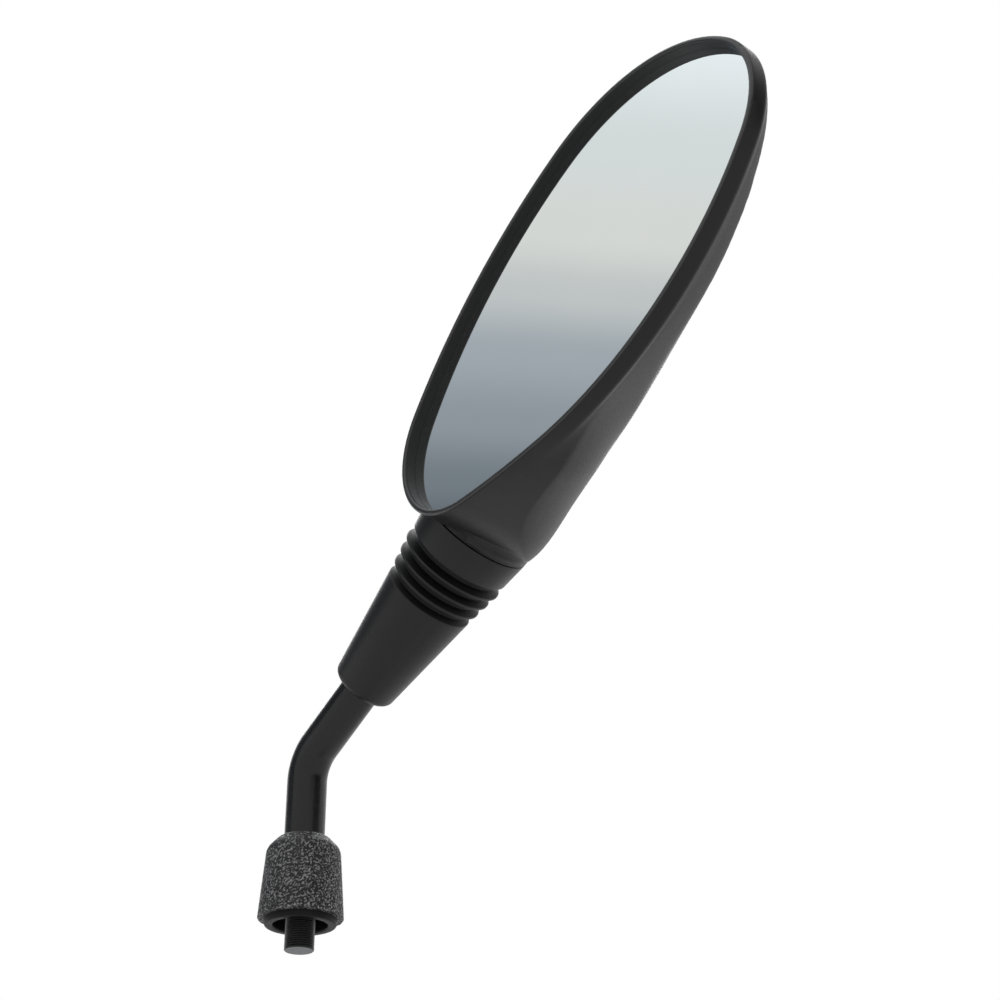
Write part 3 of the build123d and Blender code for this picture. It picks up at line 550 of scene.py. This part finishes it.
# a sliver on the back of the neck would spoil the shading round it
neckEdges = [e for e in bm.edges if all(onNeck(v) for v in e.verts)]
bmesh.ops.dissolve_degenerate(bm, dist=h["neckSliver"] * mm, edges=neckEdges)
bmesh.ops.triangulate(bm, faces=[f for f in bm.faces if len(f.verts) > 3])
for cell in h["cells"]:
    skin = outerSkin(bm)
    coarse = [e for e in bm.edges if e.calc_length() > cell * mm and all(v in skin for v in e.verts)]
    bmesh.ops.subdivide_edges(bm, edges=coarse, cuts=1, smooth=1.0)
    bmesh.ops.triangulate(bm, faces=[f for f in bm.faces if len(f.verts) > 3])
for depth in h["rows"]:
    bmesh.ops.bisect_plane(bm, geom=bm.verts[:] + bm.edges[:] + bm.faces[:], dist=1e-7,
                           plane_no=glassNormal, plane_co=lipFrame @ Vector((0, 0, -depth * mm)))
skin = outerSkin(bm)
for v, (spot, inset, outward) in skin.items():
    below = -spot.z - h["rim"]
    swell = ease(spot.x, *h["swellRise"]) * (1 - ease(spot.x, *h["swellFall"]))
    swell *= 1 - ease(inset, *h["swellInset"])
    down = h["swell"] * swell * ease(below, *h["swellDepth"])
    gap = h["flank"] * (below + down) - inset
    pull = 0.5 * (gap + hypot(gap, h["soft"])) * ease(below, *h["turnIn"]) * ease(spot.x, *h["fade"])
    v.co = lipFrame @ ((spot - outward * pull - Vector((0, 0, down))) * mm)
flanks = [v for v, (spot, inset, outward) in skin.items()
          if spot.z < -h["smoothDepth"] and spot.x > h["smoothStart"]]
for k in range(h["smoothPasses"]):
    bmesh.ops.smooth_vert(bm, verts=flanks, factor=0.5, use_axis_x=True, use_axis_y=True, use_axis_z=True)
print("shell skin points shaped:", len(skin))
# faces on the crest of the lip take the greyer finish, a painted highlight
for face in bm.faces:
    if (toLip @ face.calc_center_median()).z > -h["crest"] * mm:
        face.material_index = 1
headShell = finishPiece(bm, "mouldedHeadShell", [shellFinish, crestHighlightFinish], None, 60)
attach(headShell, "head")
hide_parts("head_shell")

# the pieces inside keep their own meshes and get their real materials
innerFinishes = {
    # ground bearing steel: bright, even grey
    "bright_steel": grainedFinish("groundBearingSteel", {
        "dark": "#9a9ca0", "light": "#b4b6ba", "patch": 4, "grain": 0.3, "gloss": (0.16, 0.26),
        "relief": 0.1, "reliefDepth": 0.01, "metallic": 1.0}),
    # oiled spring steel: dark and faintly brown, with a low shine
    "spring_steel": grainedFinish("oiledSpringSteel", {
        "dark": "#4b4a4a", "light": "#64625f", "patch": 3, "grain": 0.3, "gloss": (0.28, 0.4),
        "relief": 0.15, "reliefDepth": 0.01, "metallic": 1.0}),
    # zinc-plated steel: pale bluish grey, a little cloudy
    "zinc_plated_steel": grainedFinish("zincPlatedSteel", {
        "dark": "#8f9297", "light": "#b3b6ba", "patch": 3, "grain": 0.4, "gloss": (0.3, 0.42),
        "relief": 0.15, "reliefDepth": 0.01, "metallic": 1.0}),
    # natural moulded nylon: milky cream with a soft sheen
    "nylon": grainedFinish("mouldedNylonNatural", {
        "dark": "#d3cfc0", "light": "#e0dccf", "patch": 6, "grain": 0.4, "gloss": (0.42, 0.52),
        "relief": 0.15, "reliefDepth": 0.02}),
    # turned acetal: near black and waxy
    "acetal": grainedFinish("turnedAcetalBlack", {
        "dark": "#141415", "light": "#1d1d1e", "patch": 6, "grain": 0.4, "gloss": (0.36, 0.46),
        "relief": 0.15, "reliefDepth": 0.02}),
    # brass: warm yellow with a soft shine
    "insert_brass": grainedFinish("knurledBrass", {
        "dark": "#a8873f", "light": "#c4a45a", "patch": 2, "grain": 0.3, "gloss": (0.26, 0.38),
        "relief": 0.2, "reliefDepth": 0.01, "metallic": 1.0}),
    # closed-cell foam: dull charcoal, finely pitted
    "pad_foam": grainedFinish("closedCellFoamBlack", {
        "dark": "#17181a", "light": "#232426", "patch": 2, "grain": 0.6, "gloss": (0.8, 0.9),
        "relief": 0.5, "reliefDepth": 0.08}),
    # moulded plastic plate: near black, matt
    "carrier_plastic": grainedFinish("mouldedCarrierPlastic", {
        "dark": "#16161a", "light": "#1f1f22", "patch": 8, "grain": 0.45, "gloss": (0.44, 0.54),
        "relief": 0.2, "reliefDepth": 0.02}),
}
innerNodes = {"pivot_ball": "bright_steel", "snap_ring": "spring_steel", "disc_spring": "spring_steel",
              "ball_liner": "nylon", "lower_seat": "acetal", "upper_seat": "acetal",
              "clamp_plate": "zinc_plated_steel", "clamp_washers": "zinc_plated_steel",
              "clamp_screws": "zinc_plated_steel", "carrier_screws": "zinc_plated_steel",
              "lock_nut": "zinc_plated_steel", "clamp_inserts": "insert_brass", "glass_pad": "pad_foam",
              "glass_carrier": "carrier_plastic"}
for node, slot in innerNodes.items():
    places = frame["nodes"][node].material_slots
    if not places:
        frame["nodes"][node].data.materials.append(innerFinishes[slot])
    for place in places:
        place.material = innerFinishes[slot]
print("inner pieces dressed:", len(innerNodes))

# pale floor under the stud; what gloss shows of it is as white as the studio round it
stage = {"floorMiddle": 0.1, "floorHeight": -260 * mm, "floorSize": 6.0, "tonePatch": 900, "fill": 0.55}
floorFinish, floorTree, floorPlace = startFinish("paleStudioFloor")
floorTone = addNode(floorTree, "ShaderNodeTexNoise", {
    "Vector": floorPlace, "Scale": 1 / (stage["tonePatch"] * mm), "Detail": 2.0})
floorColour = addNode(floorTree, "ShaderNodeMix", {
    0: floorTone.outputs[0], 6: hexColour("#e9e9e8"), 7: hexColour("#efefee")}, data_type="RGBA")
floorMatt = addNode(floorTree, "ShaderNodeBsdfDiffuse", {"Color": floorColour.outputs[2]})
floorWhite = addNode(floorTree, "ShaderNodeEmission", {"Color": (1, 1, 1, 1), "Strength": 1.0})
floorRays = addNode(floorTree, "ShaderNodeLightPath")
floorSeen = addNode(floorTree, "ShaderNodeMath", {
    0: floorRays.outputs["Is Glossy Ray"], 1: floorRays.outputs["Is Transmission Ray"]},
    operation="MAXIMUM")
floorMix = addNode(floorTree, "ShaderNodeMixShader", {
    0: floorSeen.outputs[0], 1: floorMatt.outputs[0], 2: floorWhite.outputs[0]})
addNode(floorTree, "ShaderNodeOutputMaterial", {"Surface": floorMix.outputs[0]})
bm = bmesh.new()
bmesh.ops.create_grid(bm, x_segments=2, y_segments=2, size=stage["floorSize"] / 2,
                      matrix=Matrix.Translation((stage["floorMiddle"], 0, stage["floorHeight"])))
floorMesh = bpy.data.meshes.new("studioFloor")
bm.to_mesh(floorMesh)
bm.free()
floorMesh.materials.append(floorFinish)
floor = bpy.data.objects.new("studioFloor", floorMesh)
bpy.context.scene.collection.objects.link(floor)

# white studio: full strength for the camera and for gloss, dimmer as light on matt surfaces
world = bpy.data.worlds.new("whiteStudio")
bpy.context.scene.world = world
world.use_nodes = True
worldTree = world.node_tree
worldTree.nodes.clear()
rays = addNode(worldTree, "ShaderNodeLightPath")
seen = addNode(worldTree, "ShaderNodeMath", {
    0: rays.outputs["Is Camera Ray"], 1: rays.outputs["Is Glossy Ray"]}, operation="MAXIMUM")
through = addNode(worldTree, "ShaderNodeMath", {
    0: seen.outputs[0], 1: rays.outputs["Is Transmission Ray"]}, operation="MAXIMUM")
skyLevel = addNode(worldTree, "ShaderNodeMapRange", {
    "Value": through.outputs[0], "To Min": stage["fill"], "To Max": 1.0})
sky = addNode(worldTree, "ShaderNodeBackground", {"Color": (1, 1, 1, 1), "Strength": skyLevel.outputs[0]})
addNode(worldTree, "ShaderNodeOutputWorld", {"Surface": sky.outputs[0]})

# cards that only gloss shows: a pale one with a dimmer foot for the mirror, a dark flag on the right
cards = {
    "paleCard": {"towards": (-0.71, -0.386, 0.59), "distance": 1.5, "size": 1.5, "glow": 1.08,
                 "tones": ((0.41, "#646c73"), (0.45, "#7a8289"), (0.50, "#949ca2"), (0.56, "#a6aeb4"),
                           (0.61, "#c8cbcb"), (0.66, "#dedfdb"), (0.74, "#dde2e2"), (0.84, "#f0f6f8"))},
    "darkFlag": {"towards": (0.76, 0.42, 0.5), "distance": 1.5, "size": 1.2, "glow": 1.0,
                 "tones": ((0.0, "#5a5a5b"), (1.0, "#626263"))},
}
headMiddle = lipFrame @ Vector((70 * mm, 0, 0))
for name, card in cards.items():
    cardFinish, cardTree, cardPlace = startFinish(name + "Paper")
    cardSpot = addNode(cardTree, "ShaderNodeSeparateXYZ", {"Vector": cardPlace})
    cardRise = addNode(cardTree, "ShaderNodeMapRange", {
        "Value": cardSpot.outputs["Y"], "From Min": -card["size"] / 2, "From Max": card["size"] / 2})
    cardRamp = addNode(cardTree, "ShaderNodeValToRGB", {"Fac": cardRise.outputs[0]})
    stops = cardRamp.color_ramp.elements
    cardRamp.color_ramp.interpolation = "EASE"
    for k, (stop, code) in enumerate(card["tones"]):
        point = stops[k] if k < 2 else stops.new(stop)
        point.position, point.color = stop, hexColour(code)
    cardGlow = addNode(cardTree, "ShaderNodeEmission", {
        "Color": cardRamp.outputs[0], "Strength": card["glow"]})
    addNode(cardTree, "ShaderNodeOutputMaterial", {"Surface": cardGlow.outputs[0]})
    bm = bmesh.new()
    bmesh.ops.create_grid(bm, x_segments=2, y_segments=2, size=card["size"] / 2)
    cardMesh = bpy.data.meshes.new(name)
    bm.to_mesh(cardMesh)
    bm.free()
    cardMesh.materials.append(cardFinish)
    board = bpy.data.objects.new(name, cardMesh)
    bpy.context.scene.collection.objects.link(board)
    back = -Vector(card["towards"]).normalized()
    board.matrix_world = (Matrix.Translation(headMiddle - back * card["distance"])
                          @ back.to_track_quat("Z", "Y").to_matrix().to_4x4())
    for kind in ("camera", "diffuse", "transmission", "volume_scatter", "shadow"):
        setattr(board, "visible_" + kind, False)

# one wide soft box above and behind on the left
softBox = {"place": Vector((-0.55, 0.55, 0.95)), "aim": Vector((0.08, 0, 0.09)), "size": 0.9, "power": 9.0}
light = bpy.data.lights.new("topLeftBox", "AREA")
light.size, light.energy = softBox["size"], softBox["power"]
lamp = bpy.data.objects.new("topLeftBox", light)
bpy.context.scene.collection.objects.link(lamp)
facing = (softBox["place"] - softBox["aim"]).to_track_quat("Z", "Y")
lamp.matrix_world = Matrix.Translation(softBox["place"]) @ facing.to_matrix().to_4x4()
print("studio ready")

# camera as the photograph was taken: low, in front and to the right, looking up
cameraPlace = {"yaw": 0.8345919, "pitch": -0.5089063, "roll": -0.0046405, "distance": 0.4903923,
               "target": Vector((0.0793555, 0, 0.0957656)), "lens": 67.504}
c = cameraPlace
backward = Vector((sin(c["yaw"]) * cos(c["pitch"]), -cos(c["yaw"]) * cos(c["pitch"]), sin(c["pitch"])))
level = Vector((cos(c["yaw"]), sin(c["yaw"]), 0))
upright = backward.cross(level)
rightward = level * cos(c["roll"]) + upright * sin(c["roll"])
upward = upright * cos(c["roll"]) - level * sin(c["roll"])
cameraData = bpy.data.cameras.new("photoCamera")
cameraData.lens, cameraData.sensor_width, cameraData.sensor_fit = c["lens"], 36.0, "HORIZONTAL"
cameraData.clip_start, cameraData.clip_end = 0.01, 50.0
camera = bpy.data.objects.new("photoCamera", cameraData)
bpy.context.scene.collection.objects.link(camera)
camera.matrix_world = frameOf(rightward, upward, backward, c["target"] + backward * c["distance"])
bpy.context.scene.camera = camera
bpy.context.scene.view_settings.view_transform = "Standard"
